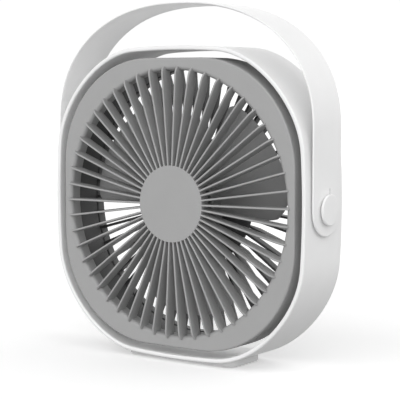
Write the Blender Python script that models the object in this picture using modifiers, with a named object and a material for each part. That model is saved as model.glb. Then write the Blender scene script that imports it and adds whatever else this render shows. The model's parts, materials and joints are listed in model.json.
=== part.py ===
"""Compact desk fan: a grey fan head hung inside a white sleeve, with a strap handle over the top.

Every length is in millimetres here and turned into metres once, by MM.
X runs to the fan's right as it is faced, Y runs to its back, Z runs up, and the floor is Z = 0.
"""

import math

import bmesh
import bpy
from mathutils import Matrix, Vector

MM = 0.001
GAP = 0.3

# sleeve frame
FRAME_W = 157.1
FRAME_H = 160.0
FRAME_R = 50.2
FRAME_SWELL = 6.1
FRAME_WALL = 2.2
FRAME_D = 35.5
FRAME_Z = 1.8
AXIS_Z = FRAME_Z + FRAME_H / 2
FRONT_Y = -FRAME_D / 2

# fan head
HEAD_W = 145.0
HEAD_H = 147.8
HEAD_R = 55.4
PANEL_T = 2.2
SKIRT_T = 1.6
SKIRT_REAR_Y = 0.25
DUCT_R = 67.8
DUCT_T = 1.6
LIP_ROUND = 2.0
SHROUD_R = 70.2
SHROUD_T = 1.0
LIP_REAR_Y = FRONT_Y + 6.7
SHROUD_REAR_Y = 4.8
COVER_T = 2.0

# grille and guard
VANES = 50
VANE_T = 1.0
VANE_D = 6.9
VANE_TURN = 0.9
GRILLE_Y = FRONT_Y - 2.4
HUB_R = 19.6
GUARD_T = 2.0
RIB_T = 1.2
RIB_D = 5.2
SEAT_R = 33.0  # the guard's middle disc, which the motor stands on

# rotor
BLADES = 3
BLADE_TIP_R = 59.0
BLADE_MIDDLE = 147.0
BLADE_HALF = 34.5
BLADE_SWEEP = 13.0  # how much further round a blade's rear edge starts at the hub, degrees
BLADE_T = 1.2
ROTOR_HUB_R = 18.5
SHAFT_R = 1.0

# handle
STRAP_W = 26.3
STRAP_T = 1.4
STRAP_HALF = FRAME_W / 2 + GAP
STRAP_TOP = 182.1 + FRAME_Z
STRAP_SPRING = 118.8 + FRAME_Z
STRAP_POWER = 2.26
KNOB_R = 7.7
KNOB_T = 1.9

SCREW_ANGLES = (32, 148, 212, 328)
SCREW_R = 73.7
POD_ANGLE = -53.5
POD_R = 74.3
USB_ANGLE = -46.5
BUTTON_ANGLE = -60.5

for old in list(bpy.data.objects):
    bpy.data.objects.remove(old, do_unlink=True)

PARTS = bpy.data.collections.new("desk_fan")
CUTTERS = bpy.data.collections.new("cutters")
bpy.context.scene.collection.children.link(PARTS)
bpy.context.scene.collection.children.link(CUTTERS)


def material(name, colour, roughness, metallic=0.0):
    """A plain Principled material."""
    mat = bpy.data.materials.new(name)
    mat.use_nodes = True
    shader = mat.node_tree.nodes["Principled BSDF"]
    shader.inputs["Base Color"].default_value = (*colour, 1.0)
    shader.inputs["Roughness"].default_value = roughness
    shader.inputs["Metallic"].default_value = metallic
    return mat


WHITE = material("white_plastic", (0.80, 0.80, 0.80), 0.45)
GREY = material("grey_plastic", (0.36, 0.36, 0.36), 0.5)
DARK = material("dark_plastic", (0.05, 0.05, 0.05), 0.5)
BLADE_GREY = material("blade_plastic", (0.20, 0.20, 0.20), 0.45)
RUBBER = material("rubber", (0.10, 0.10, 0.10), 0.8)
STEEL = material("steel", (0.60, 0.60, 0.60), 0.3, 1.0)
BRONZE = material("bronze", (0.55, 0.36, 0.18), 0.4, 1.0)
NYLON = material("nylon", (0.75, 0.74, 0.70), 0.5)
BOARD = material("circuit_board", (0.03, 0.16, 0.06), 0.5)
MAGNET = material("magnet", (0.08, 0.08, 0.09), 0.5)
COPPER = material("copper", (0.60, 0.27, 0.13), 0.35, 1.0)
LENS = material("lens", (0.85, 0.88, 0.85), 0.2)
WIRE = material("wire_cover", (0.03, 0.03, 0.03), 0.5)


def finish(obj, mat, smooth=True):
    """Put an object among the parts, with its material."""
    for home in list(obj.users_collection):
        home.objects.unlink(obj)
    PARTS.objects.link(obj)
    obj.data.materials.clear()
    obj.data.materials.append(mat)
    if smooth:
        obj.data.shade_smooth()
        obj.data.set_sharp_from_angle(angle=math.radians(35))
    return obj


def cutter(obj):
    """Hide an object that only shapes another."""
    for home in list(obj.users_collection):
        home.objects.unlink(obj)
    CUTTERS.objects.link(obj)
    obj.hide_render = True
    obj.display_type = "WIRE"
    return obj


def boolean(target, tool, operation):
    """Cut or join a target with a tool."""
    mod = target.modifiers.new(operation.lower(), "BOOLEAN")
    mod.operation = operation
    mod.solver = "EXACT"
    mod.object = cutter(tool)
    return target


def cut(target, tool):
    return boolean(target, tool, "DIFFERENCE")


def join(target, tool):
    return boolean(target, tool, "UNION")


def add_mesh(name, build):
    """Make a mesh object from a bmesh-filling function."""
    bm = bmesh.new()
    build(bm)
    mesh = bpy.data.meshes.new(name)
    bm.to_mesh(mesh)
    bm.free()
    obj = bpy.data.objects.new(name, mesh)
    PARTS.objects.link(obj)
    return obj


def turned(name, profile, axis="Y", at=(0.0, 0.0), steps=48):
    """Turn a closed (radius, along) profile about X or Y; at holds the axis's other two coordinates."""
    points = [Vector((r * MM, 0, h * MM)) for r, h in profile]
    area = sum(a.x * b.z - b.x * a.z for a, b in zip(points, points[1:] + points[:1]))
    if area > 0:
        points.reverse()

    def build(bm):
        verts = [bm.verts.new(p) for p in points]
        on_axis = [abs(p.x) < 1e-9 for p in points]
        for i, vert in enumerate(verts):
            following = (i + 1) % len(verts)
            if not (on_axis[i] and on_axis[following]):
                bm.edges.new((vert, verts[following]))

    obj = add_mesh(name, build)
    screw = obj.modifiers.new("turn", "SCREW")
    screw.axis = "Z"
    screw.steps = steps
    screw.render_steps = steps
    screw.use_merge_vertices = True
    screw.merge_threshold = 0.00001
    if axis == "Y":
        obj.rotation_euler = (math.radians(-90), 0, 0)
        obj.location = (at[0] * MM, 0, at[1] * MM)
    else:
        obj.rotation_euler = (0, math.radians(90), 0)
        obj.location = (0, at[0] * MM, at[1] * MM)
    return obj


def tube_profile(outer, inner, low, high, round_off=0.0):
    """Ring profile with its outer corners taken off."""
    c = round_off
    if not c:
        return [(outer, high), (outer, low), (inner, low), (inner, high)]
    return [
        (outer - c, high), (outer, high - c), (outer, low + c),
        (outer - c, low), (inner, low), (inner, high),
    ]


def disc_profile(radius, low, high, round_off=0.0):
    """Solid disc profile with its outer corners taken off."""
    c = round_off
    if not c:
        return [(0, high), (radius, high), (radius, low), (0, low)]
    return [
        (0, high), (radius - c, high), (radius, high - c),
        (radius, low + c), (radius - c, low), (0, low),
    ]


def outline(width, height, radius, swell, per_corner=9, per_side=5):
    """Rounded square whose sides swell outwards towards their middles."""
    points = []
    for sx, sz, start in ((1, 1, 0), (-1, 1, 90), (-1, -1, 180), (1, -1, 270)):
        for i in range(per_corner):
            a = math.radians(start + 90 * i / (per_corner - 1))
            x = sx * (width / 2 - radius) + radius * math.cos(a)
            z = sz * (height / 2 - radius) + radius * math.sin(a)
            points.append((x, z))
    dense = []
    for i, (x, z) in enumerate(points):
        dense.append((x, z))
        nx, nz = points[(i + 1) % len(points)]
        if (i + 1) % per_corner == 0:
            for k in range(1, per_side):
                t = k / per_side
                dense.append((x + (nx - x) * t, z + (nz - z) * t))
    swollen = []
    for x, z in dense:
        u = x / (width / 2)
        v = z / (height / 2)
        swollen.append((x - swell * u * v * v, z - swell * v * u * u))
    return swollen


def plate(name, loops, depth):
    """Closed (x, z) outlines made into a flat plate; the first is the outside, the others are holes."""
    curve = bpy.data.curves.new(name, "CURVE")
    curve.dimensions = "2D"
    curve.fill_mode = "BOTH"
    curve.extrude = depth / 2 * MM
    curve.resolution_u = 1
    curve.render_resolution_u = 0
    for loop in loops:
        spline = curve.splines.new("POLY")
        spline.points.add(len(loop) - 1)
        for point, (x, z) in zip(spline.points, loop):
            point.co = (x * MM, z * MM, 0, 1)
        spline.use_cyclic_u = True
    guide = bpy.data.objects.new(name, curve)
    PARTS.objects.link(guide)
    bpy.context.view_layer.update()
    depsgraph = bpy.context.evaluated_depsgraph_get()
    mesh = bpy.data.meshes.new_from_object(guide.evaluated_get(depsgraph))
    bpy.data.objects.remove(guide, do_unlink=True)
    bm = bmesh.new()
    bm.from_mesh(mesh)
    bmesh.ops.remove_doubles(bm, verts=bm.verts, dist=1e-6)
    bmesh.ops.recalc_face_normals(bm, faces=bm.faces)
    bm.to_mesh(mesh)
    bm.free()
    obj = bpy.data.objects.new(name, mesh)
    PARTS.objects.link(obj)
    return obj


def slab(name, loops, front, back, centre_z=AXIS_Z):
    """A plate standing in the XZ plane from Y = front to Y = back."""
    obj = plate(name, loops, back - front)
    obj.rotation_euler = (math.radians(90), 0, 0)
    obj.location = (0, (front + back) / 2 * MM, centre_z * MM)
    return obj


def box(name, size, centre, angle=0.0, pivot=(0.0, 0.0)):
    """A box, turned by angle about the Y line through pivot (x, z)."""

    def build(bm):
        bmesh.ops.create_cube(bm, size=1.0)
        scale = Matrix.Diagonal((size[0] * MM, size[1] * MM, size[2] * MM, 1))
        bmesh.ops.transform(bm, matrix=scale, verts=bm.verts)

    obj = add_mesh(name, build)
    turn = Matrix.Rotation(-math.radians(angle), 4, "Y")
    place = Matrix.Translation(Vector((pivot[0], 0, pivot[1])) * MM)
    obj.matrix_world = place @ turn @ Matrix.Translation(Vector(centre) * MM)
    return obj


def head_box(name, size, radius, y, angle):
    """A box set out from the fan's axis: size is (radial, deep, tangential)."""
    return box(name, size, (radius, y, 0), angle, (0, AXIS_Z))


def head_spot(radius, angle):
    """World (x, z) at a radius and angle from the fan's axis."""
    a = math.radians(angle)
    return (radius * math.cos(a), AXIS_Z + radius * math.sin(a))


def edge_bevel(obj, width, segments=1, angle=40):
    mod = obj.modifiers.new("edge", "BEVEL")
    mod.width = width * MM
    mod.segments = segments
    mod.limit_method = "ANGLE"
    mod.angle_limit = math.radians(angle)
    return obj


def copies_round(name, source, count, first=0.0):
    """One mesh holding count turned copies of a source mesh, about the fan's axis."""
    mesh = bpy.data.meshes.new(name)
    bm = bmesh.new()
    for i in range(count):
        turn = Matrix.Rotation(-math.radians(first + 360 * i / count), 4, "Y")
        before = len(bm.verts)
        bm.from_mesh(source.data)
        bm.verts.ensure_lookup_table()
        bmesh.ops.transform(bm, matrix=turn @ source.matrix_basis, verts=bm.verts[before:])
    bm.to_mesh(mesh)
    bm.free()
    obj = bpy.data.objects.new(name, mesh)
    PARTS.objects.link(obj)
    obj.location = (0, 0, AXIS_Z * MM)
    bpy.data.objects.remove(source, do_unlink=True)
    return obj


def post(name, radius, low, high, x, y=0.0):
    """A short upright cylinder."""
    obj = turned(name, disc_profile(radius, low, high), "Y", (0, 0), 12)
    obj.rotation_euler = (0, 0, 0)
    obj.location = (x * MM, y * MM, 0)
    return obj


# ---------------------------------------------------------------- sleeve and foot

def frame_outline(inset):
    return outline(FRAME_W - 2 * inset, FRAME_H - 2 * inset, FRAME_R - inset, FRAME_SWELL)


frame = slab("outer_frame", [frame_outline(0), frame_outline(FRAME_WALL)], FRONT_Y, -FRONT_Y)
edge_bevel(frame, 0.5, 1, 60)
cut(frame, turned("pivot_hole", disc_profile(4.5, -90, 90), "X", (0, AXIS_Z), 24))
for side in (-1, 1):
    cut(frame, post("peg_hole", 1.6, FRAME_Z - 1, FRAME_Z + 1.7, side * 24))
finish(frame, WHITE)

foot = box("base_foot", (68.8, 27.0, 3.4), (0, 0, 0.4 + 1.7))
corner = foot.modifiers.new("corners", "BEVEL")
corner.width = 6 * MM
corner.segments = 5
corner.limit_method = "WEIGHT"
weights = foot.data.attributes.new("bevel_weight_edge", "FLOAT", "EDGE")
for edge in foot.data.edges:
    a, b = (foot.data.vertices[i].co for i in edge.vertices)
    weights.data[edge.index].value = 1.0 if abs(a.z - b.z) > 1e-4 else 0.0
cut(foot, slab("foot_seat", [frame_outline(-GAP)], -30, 30))
for side in (-1, 1):
    join(foot, post("peg", 1.2, 1.2, FRAME_Z + 1.4, side * 24))
    cut(foot, box("pad_pocket", (18.6, 18.6, 1.0), (side * 14, 0, 0.4)))
finish(foot, WHITE)
for side, word in ((-1, "left"), (1, "right")):
    finish(box("foot_pad_" + word, (18, 18, 0.6), (side * 14, 0, 0.3)), RUBBER)

# ---------------------------------------------------------------- head shells

def head_outline(inset):
    return outline(HEAD_W - 2 * inset, HEAD_H - 2 * inset, HEAD_R - inset, 0.0, 10, 1)


def circle(radius, count=60):
    turn = 2 * math.pi / count
    return [(radius * math.cos(i * turn), radius * math.sin(i * turn)) for i in range(count)]


funnel = [
    (0, FRONT_Y - 0.3),
    (DUCT_R + LIP_ROUND + 1, FRONT_Y - 0.3),
    (DUCT_R + LIP_ROUND, FRONT_Y),
    (DUCT_R + 0.5 * LIP_ROUND, FRONT_Y + 0.13 * LIP_ROUND),
    (DUCT_R + 0.13 * LIP_ROUND, FRONT_Y + 0.5 * LIP_ROUND),
    (DUCT_R, FRONT_Y + LIP_ROUND),
    (DUCT_R, 10),
    (0, 10),
]
shell = slab("front_shell", [head_outline(0)], FRONT_Y, SKIRT_REAR_Y)
edge_bevel(shell, 0.5, 1, 60)
cut(shell, slab("cavity", [head_outline(SKIRT_T)], FRONT_Y + PANEL_T, 5))
lip = tube_profile(DUCT_R + DUCT_T, DUCT_R - 1, FRONT_Y + 1, LIP_REAR_Y)
join(shell, turned("lip", lip, "Y", (0, AXIS_Z), 60))
for angle in SCREW_ANGLES:
    spot = head_spot(SCREW_R, angle)
    join(shell, turned("boss", disc_profile(2.7, FRONT_Y + 1.5, SKIRT_REAR_Y), "Y", spot, 16))
    cut(shell, turned("boss_bore", disc_profile(1.35, -8, 2), "Y", spot, 12))
cut(shell, turned("funnel", funnel, "Y", (0, AXIS_Z), 60))
for side in (-1, 1):
    join(shell, turned("ear", disc_profile(6, side * 70.6, side * 72.4), "X", (0, AXIS_Z), 24))
cut(shell, turned("pin_hole", disc_profile(2.3, -90, 90), "X", (0, AXIS_Z), 16))
finish(shell, GREY)

cover = slab("rear_housing", [head_outline(GAP), circle(SHROUD_R - 0.4)], 0.55, 0.55 + COVER_T)
shroud = tube_profile(SHROUD_R, SHROUD_R - SHROUD_T, LIP_REAR_Y + GAP, SHROUD_REAR_Y)
join(cover, turned("shroud", shroud, "Y", (0, AXIS_Z), 60))
for side in (-1, 1):
    cut(cover, turned("ear_room", disc_profile(6.4, side * 70.35, side * 80), "X", (0, AXIS_Z), 24))
for angle in SCREW_ANGLES:
    cut(cover, turned("screw_hole", disc_profile(1.4, 0, 4), "Y", head_spot(SCREW_R, angle), 12))
LEAD_ANGLE = -57
LEAD_R = 72.8
cut(cover, head_box("lead_notch", (4, 3, 2.4), 69.6, SHROUD_REAR_Y - 0.5, LEAD_ANGLE))
cut(cover, turned("lead_hole", disc_profile(1.1, 0, 4), "Y", head_spot(LEAD_R, LEAD_ANGLE), 12))
cut(cover, head_box("usb_window", (3.9, 4, 9.6), POD_R, 1.5, USB_ANGLE))
cut(cover, turned("button_hole", disc_profile(2.8, 0, 4), "Y", head_spot(POD_R, BUTTON_ANGLE), 24))
cut(cover, turned("lens_hole", disc_profile(1.3, 0, 4), "Y", head_spot(POD_R, POD_ANGLE), 16))
finish(cover, DARK)

# ---------------------------------------------------------------- grille and guard

F = FRONT_Y
G = GRILLE_Y
vane_shape = [
    (HUB_R + 0.3, G + 0.1),
    (65.6, G + 0.1),
    (67.4, G + 0.4),
    (68.9, G + 1.2),
    (DUCT_R + LIP_ROUND, F - GAP),
    (DUCT_R + 0.9, F - 0.05),
    (DUCT_R, F + 0.7),
    (DUCT_R - GAP, F + 2.0),
    (DUCT_R - GAP, G + VANE_D),
    (18.2, G + VANE_D),
    (18.2, G + 2.6),
    (HUB_R + 0.3, G + 2.6),
]
hub_cup = [
    (HUB_R - 0.2, G + VANE_D - 0.25),
    (HUB_R - 0.2, G + 2.3),
    (16.8, G + 2.3),
    (16.8, G + 4.6),
    (0, G + 4.6),
    (0, G + VANE_D - 0.25),
]
grille = turned("front_grille", hub_cup, "Y", (0, AXIS_Z), 50)
join(grille, copies_round("vanes", plate("vane", [vane_shape], VANE_T), VANES, VANE_TURN))
outer = tube_profile(DUCT_R - 0.35, DUCT_R - 1.2, F + 2.4, F + 4.2)
join(grille, turned("grille_ring", outer, "Y", (0, AXIS_Z), 50))
finish(grille, GREY)

cap = [
    (0, G), (HUB_R - 0.3, G), (HUB_R, G + 0.3), (HUB_R, G + 2.0),
    (16.4, G + 2.0), (16.4, G + 4.2), (0, G + 4.2),
]
finish(turned("hub_cap", cap, "Y", (0, AXIS_Z), 40), GREY)

guard_front = SHROUD_REAR_Y + GAP
guard_rear = guard_front + GUARD_T
motor_seat = [
    (0, guard_rear),
    (SEAT_R, guard_rear),
    (SEAT_R, guard_front),
    (5.0, guard_front),
    (5.0, -4.6),
    (3.3, -4.6),
    (3.3, guard_front + 0.8),
    (0, guard_front + 0.8),
]
guard = turned("rear_guard", motor_seat, "Y", (0, AXIS_Z), 50)
rib = [
    (SEAT_R - 1.3, guard_front + 0.1),
    (69.0, guard_front + 0.1),
    (69.0, guard_front + RIB_D - 0.1),
    (SEAT_R + 4.4, guard_front + RIB_D - 0.1),
    (SEAT_R - 1.3, guard_rear - 0.1),
]
join(guard, copies_round("ribs", plate("rib", [rib], RIB_T), VANES, VANE_TURN))
rim = tube_profile(70.2, 68.8, guard_front, guard_front + RIB_D)
join(guard, turned("guard_rim", rim, "Y", (0, AXIS_Z), 50))
for angle in SCREW_ANGLES:
    join(guard, head_box("tab", (6.8, GUARD_T - 0.2, 6), 72.9, (guard_front + guard_rear) / 2, angle))
    join(guard, head_box("tab_foot", (5.4, 3.6, 5), 73.4, 2.85 + 1.8, angle))
    cut(guard, turned("tab_hole", disc_profile(1.4, 0, 9), "Y", head_spot(SCREW_R, angle), 12))
finish(guard, DARK)

for number, angle in enumerate(SCREW_ANGLES, 1):
    spot = head_spot(SCREW_R, angle)
    head = guard_rear + GAP
    pan = [(0, head + 1.3), (2.3, head + 1.3), (2.3, head), (1.05, head), (1.05, -7), (0, -7)]
    finish(turned("housing_screw_%d" % number, pan, "Y", spot, 10), STEEL)

# ---------------------------------------------------------------- motor and rotor

def star(outer, inner, root, teeth):
    """Stator outline: a ring with T-shaped teeth, drawn once round."""
    points = []
    for i in range(teeth):
        middle = 2 * math.pi * i / teeth
        half = math.pi / teeth
        for r, share in ((inner, -1), (inner, -0.3), (outer - 1.5, -0.3), (outer, -0.75),
                         (outer, 0.75), (outer - 1.5, 0.3), (inner, 0.3)):
            a = middle + half * share
            points.append((r * math.cos(a), r * math.sin(a)))
    return [points, circle(root, 18)]


finish(slab("motor_stator", star(12.8, 7.5, 5.3, 6), -3.8, 1.2), COPPER, False)
finish(turned("motor_board", tube_profile(12.8, 5.3, 3.2, 4.2), "Y", (0, AXIS_Z), 24), BOARD)
finish(turned("bearing_front", tube_profile(3.0, 1.15, -4.4, -1.0), "Y", (0, AXIS_Z), 14), BRONZE)
finish(turned("bearing_rear", tube_profile(3.0, 1.15, 1.6, 5.0), "Y", (0, AXIS_Z), 14), BRONZE)

hub = [
    (0, -8.6),
    (ROTOR_HUB_R - 1.0, -8.6),
    (ROTOR_HUB_R, -7.6),
    (ROTOR_HUB_R, 2.2),
    (17.0, 2.2),
    (17.0, -7.2),
    (0, -7.2),
]
impeller = turned("impeller", hub, "Y", (0, AXIS_Z), 30)


def blade_mesh(bm):
    """Twisted sheets set out round the fan's axis; each one's rear corner is rounded off at the tip."""
    rows, columns = 6, 11
    for k in range(BLADES):
        middle = math.radians(BLADE_MIDDLE - 360 * k / BLADES)
        half = math.radians(BLADE_HALF)
        sweep = math.radians(BLADE_SWEEP)
        grid = []
        for i in range(rows):
            t = i / (rows - 1)
            line = []
            for j in range(columns):
                s = j / (columns - 1)
                tip = BLADE_TIP_R - 8 * max(0, 1 - 4 * s) ** 2
                r = ROTOR_HUB_R - 0.7 + (tip - ROTOR_HUB_R + 0.7) * t
                angle = middle + half * (2 * s - 1) - sweep * (1 - s) * (1 - t)
                y = -6.3 + 0.4 * t + (8.4 - 0.4 * t) * (1 - s) - 0.8 * math.sin(math.pi * s)
                line.append(bm.verts.new((r * math.cos(angle) * MM, y * MM, r * math.sin(angle) * MM)))
            grid.append(line)
        for i in range(rows - 1):
            for j in range(columns - 1):
                bm.faces.new((grid[i][j], grid[i + 1][j], grid[i + 1][j + 1], grid[i][j + 1]))


blades = add_mesh("blades", blade_mesh)
blades.location = (0, 0, AXIS_Z * MM)
skin = blades.modifiers.new("thickness", "SOLIDIFY")
skin.thickness = BLADE_T * MM
skin.offset = 0.0
join(impeller, blades)
finish(impeller, BLADE_GREY)

can = [(1.3, -6.9), (16.7, -6.9), (16.7, 2.0), (15.2, 2.0), (15.2, -5.9), (1.3, -5.9)]
finish(turned("rotor_can", can, "Y", (0, AXIS_Z), 24), STEEL)
finish(turned("magnet_ring", tube_profile(14.9, 13.4, -5.5, 1.8), "Y", (0, AXIS_Z), 24), MAGNET)
finish(turned("rotor_shaft", disc_profile(SHAFT_R, -6.7, 5.6, 0.2), "Y", (0, AXIS_Z), 12), STEEL)
finish(turned("shaft_clip", tube_profile(2.4, 1.1, 5.12, 5.42), "Y", (0, AXIS_Z), 12), STEEL)

# ---------------------------------------------------------------- controls

board = head_box("control_board", (4.0, 1.0, 25), POD_R - 0.1, -5.5, POD_ANGLE)
finish(board, BOARD, False)
socket = head_box("usb_socket", (3.2, 7.0, 8.9), POD_R, -0.9, USB_ANGLE)
cut(socket, head_box("socket_mouth", (2.5, 7.0, 8.2), POD_R, 0.3, USB_ANGLE))
join(socket, head_box("socket_tongue", (0.7, 5.5, 6.4), POD_R, -1.4, USB_ANGLE))
finish(socket, STEEL, False)
finish(head_box("button_switch", (4.0, 2.4, 4.0), POD_R - 0.1, -3.4, BUTTON_ANGLE), DARK, False)
lens_spot = head_spot(POD_R, POD_ANGLE)
finish(turned("status_lens", disc_profile(1.0, -4.6, 2.9, 0.2), "Y", lens_spot, 12), LENS)
press = [(0, -1.5), (3.1, -1.5), (3.1, -0.6), (2.5, -0.6), (2.5, 3.2), (2.2, 3.5), (0, 3.5)]
finish(turned("speed_button", press, "Y", head_spot(POD_R, BUTTON_ANGLE), 20), GREY)

wire = bpy.data.curves.new("motor_lead", "CURVE")
wire.dimensions = "3D"
wire.bevel_depth = 0.65 * MM
wire.bevel_resolution = 1
wire.use_fill_caps = True
wire.resolution_u = 1
wire.render_resolution_u = 0
run = ((13.2, 3.9), (70.6, 3.9), (71.9, 3.6), (72.6, 2.8), (LEAD_R, 1.8), (LEAD_R, -4.6))
line = wire.splines.new("POLY")
line.points.add(len(run) - 1)
for point, (r, y) in zip(line.points, run):
    x, z = head_spot(r, LEAD_ANGLE)
    point.co = (x * MM, y * MM, z * MM, 1)
lead = bpy.data.objects.new("motor_lead", wire)
PARTS.objects.link(lead)
finish(lead, WIRE, False)

# ---------------------------------------------------------------- side pivots

OUT_X = FRAME_W / 2
IN_X = OUT_X - FRAME_WALL
for side, word in ((-1, "left"), (1, "right")):

    def along(profile):
        return [(r, side * h) for r, h in profile]

    pin = [
        (0, 70.75), (2.0, 70.75), (2.0, 72.75), (5.5, 72.75), (5.5, 73.9), (3.0, 73.9),
        (3.0, OUT_X - 0.2), (1.45, OUT_X - 0.2), (1.45, 73.2), (0, 73.2),
    ]
    finish(turned("trunnion_" + word, along(pin), "X", (0, AXIS_Z), 14), STEEL)
    washer = tube_profile(5.4, 3.3, 74.2, 74.7)
    finish(turned("friction_washer_" + word, along(washer), "X", (0, AXIS_Z), 16), NYLON)
    bush = [
        (5.9, 75.0), (5.9, IN_X - GAP), (4.2, IN_X - GAP), (4.2, OUT_X - 0.1),
        (3.3, OUT_X - 0.1), (3.3, 75.0),
    ]
    finish(turned("pivot_bush_" + word, along(bush), "X", (0, AXIS_Z), 16), NYLON)
    outside = STRAP_HALF + STRAP_T + GAP
    screw = [
        (0, 73.5), (1.15, 73.5), (1.15, outside), (3.0, outside),
        (3.0, outside + 0.9), (0, outside + 0.9),
    ]
    finish(turned("pivot_screw_" + word, along(screw), "X", (0, AXIS_Z), 12), STEEL)
    knob = [
        (0, outside + KNOB_T), (KNOB_R - 0.5, outside + KNOB_T), (KNOB_R, outside + KNOB_T - 0.5),
        (KNOB_R, outside), (3.4, outside), (3.4, outside + 1.2), (0, outside + 1.2),
    ]
    finish(turned("knob_cap_" + word, along(knob), "X", (0, AXIS_Z), 28), WHITE)

# ---------------------------------------------------------------- strap handle

def arch(inset, count=20):
    """The strap's line from its right end over the top, inset inwards."""
    half = STRAP_HALF + STRAP_T - inset
    top = STRAP_TOP - inset
    points = [(half, AXIS_Z - STRAP_W / 2)]
    for i in range(count + 1):
        a = math.pi * i / count
        c, s = math.cos(a), math.sin(a)
        x = math.copysign(abs(c) ** (2 / STRAP_POWER), c) * half
        z = STRAP_SPRING + (top - STRAP_SPRING) * abs(s) ** (2 / STRAP_POWER)
        points.append((x, z))
    points.append((-half, AXIS_Z - STRAP_W / 2))
    return points


strap_loop = arch(0) + arch(STRAP_T)[::-1]
strap = slab("handle_strap", [strap_loop], -STRAP_W / 2, STRAP_W / 2, 0.0)
side_shape = [(-STRAP_W / 2, 200), (STRAP_W / 2, 200)]
for i in range(17):
    a = math.pi * i / 16
    side_shape.append((STRAP_W / 2 * math.cos(a), AXIS_Z - STRAP_W / 2 * math.sin(a)))
ends = plate("round_ends", [side_shape], 190)
ends.rotation_euler = (math.radians(90), 0, math.radians(90))
boolean(strap, ends, "INTERSECT")
cut(strap, turned("strap_hole", disc_profile(1.7, -90, 90), "X", (0, AXIS_Z), 16))
for side in (-1, 1):
    mark = (side * (STRAP_HALF + STRAP_T), 1.5, AXIS_Z + KNOB_R + 1.4)
    cut(strap, box("index_mark", (0.7, 0.6, 2.4), mark))
finish(strap, WHITE)
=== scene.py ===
# The finished look of the compact desk fan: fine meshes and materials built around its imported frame.
import json
import math

import bmesh
import bpy
from mathutils import Matrix, Vector


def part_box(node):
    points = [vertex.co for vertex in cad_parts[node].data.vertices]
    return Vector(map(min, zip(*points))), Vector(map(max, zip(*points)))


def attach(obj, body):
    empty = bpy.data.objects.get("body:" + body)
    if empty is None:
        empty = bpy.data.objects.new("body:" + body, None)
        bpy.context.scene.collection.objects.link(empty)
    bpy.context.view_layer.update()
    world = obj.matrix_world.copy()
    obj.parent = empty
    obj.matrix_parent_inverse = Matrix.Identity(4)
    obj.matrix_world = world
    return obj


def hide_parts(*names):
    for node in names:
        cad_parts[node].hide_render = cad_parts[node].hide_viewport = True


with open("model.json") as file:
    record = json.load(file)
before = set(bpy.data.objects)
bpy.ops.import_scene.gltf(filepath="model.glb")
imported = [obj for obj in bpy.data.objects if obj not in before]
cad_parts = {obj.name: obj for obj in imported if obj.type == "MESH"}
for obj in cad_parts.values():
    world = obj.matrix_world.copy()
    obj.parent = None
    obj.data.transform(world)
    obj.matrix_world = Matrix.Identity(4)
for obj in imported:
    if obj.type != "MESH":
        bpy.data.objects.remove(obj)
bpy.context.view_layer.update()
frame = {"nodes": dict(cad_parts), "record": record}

# Sizes are in millimetres and become metres once, when a piece is made.
MM = 0.001
GAP = 0.3


def sizes(node):
    """A CAD node's lowest and highest corner, in millimetres."""
    low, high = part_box(node)
    return low / MM, high / MM


joints = {joint["name"]: joint for joint in frame["record"]["behaviour"]["joints"]}
AXIS_Z = joints["head_tilt"]["pos_m"][2] / MM

# sleeve
sleeve_low, sleeve_high = sizes("outer_frame")
FRAME_W = sleeve_high.x - sleeve_low.x
FRAME_H = sleeve_high.z - sleeve_low.z
FRONT_Y = sleeve_low.y
FRAME_R = 50.2
FRAME_SWELL = 6.1
FRAME_WALL = 2.2

SLEEVE_HOLE_R = 4.5
CUT_REACH = 90  # how far a cutter runs out to each side, past the whole fan

# foot
FOOT_CORNER = 6.0
FOOT_RISE = 3.4
PAD_X = 14
PAD_HALF = 9.0
PAD_CORNER = 1.4

# head
head_low, head_high = sizes("front_shell")
HEAD_W = head_high.x - head_low.x
HEAD_H = head_high.z - head_low.z
HEAD_R = 55.4
PANEL_T = 2.2
SKIRT_T = 1.6
SKIRT_REAR_Y = 0.25
DUCT_R = 67.8
DUCT_T = 1.6
LIP_ROUND = 2.0
HEAD_HOLE_R = 2.3
BOSS_R = 2.7
BOSS_HOLE_R = 1.35
BOSS_FRONT_Y = FRONT_Y + 1.5
EAR_R = 6
EAR_IN_X = 70.6
EAR_OUT_X = 71.6
SHROUD_R = 70.2
SHROUD_T = 1.0
LIP_REAR_Y = FRONT_Y + 6.7
SHROUD_REAR_Y = sizes("rear_housing")[1].y
COVER_FRONT_Y = SKIRT_REAR_Y + GAP
COVER_REAR_Y = COVER_FRONT_Y + 2.0

# grille and guard
VANES = 50
VANE_T = 1.0
VANE_D = 6.9
VANE_TURN = 0.9
GRILLE_Y = sizes("hub_cap")[0].y
HUB_R = sizes("hub_cap")[1].x
GUARD_FRONT_Y = SHROUD_REAR_Y + GAP
GUARD_REAR_Y = GUARD_FRONT_Y + 2.0
RIB_T = 1.2
RIB_END_R = 69.0
RIB_REAR_Y = sizes("rear_guard")[1].y
SEAT_R = 33.0

# rotor
BLADES = 3
BLADE_MIDDLE = 147.0
BLADE_HALF = 34.5
BLADE_SWEEP = 13.0
BLADE_T = 1.3
BLADE_TIP_R = 59.0
ROTOR_HUB_R = 18.5
ROTOR_CUP_R = 17.0

# handle
strap_low, strap_high = sizes("handle_strap")
STRAP_W = strap_high.y - strap_low.y
STRAP_HALF = strap_high.x
STRAP_TOP = strap_high.z
STRAP_T = 1.4
STRAP_SPRING = 120.6
STRAP_POWER = 2.26
knob_low, knob_high = sizes("knob_cap_right")
KNOB_R = (knob_high.z - knob_low.z) / 2
STRAP_HOLE_R = 1.7

# side pivots, from the head outwards
PIN_IN_X = 70.75
PIN_STEP_X = 72.75
FLANGE_OUT_X = 73.9
WASHER_X = (74.2, 74.7)
BUSH_IN_X = 75.0
PIN_R = 3.0
PIN_HOLE_R = 3.3

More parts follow.
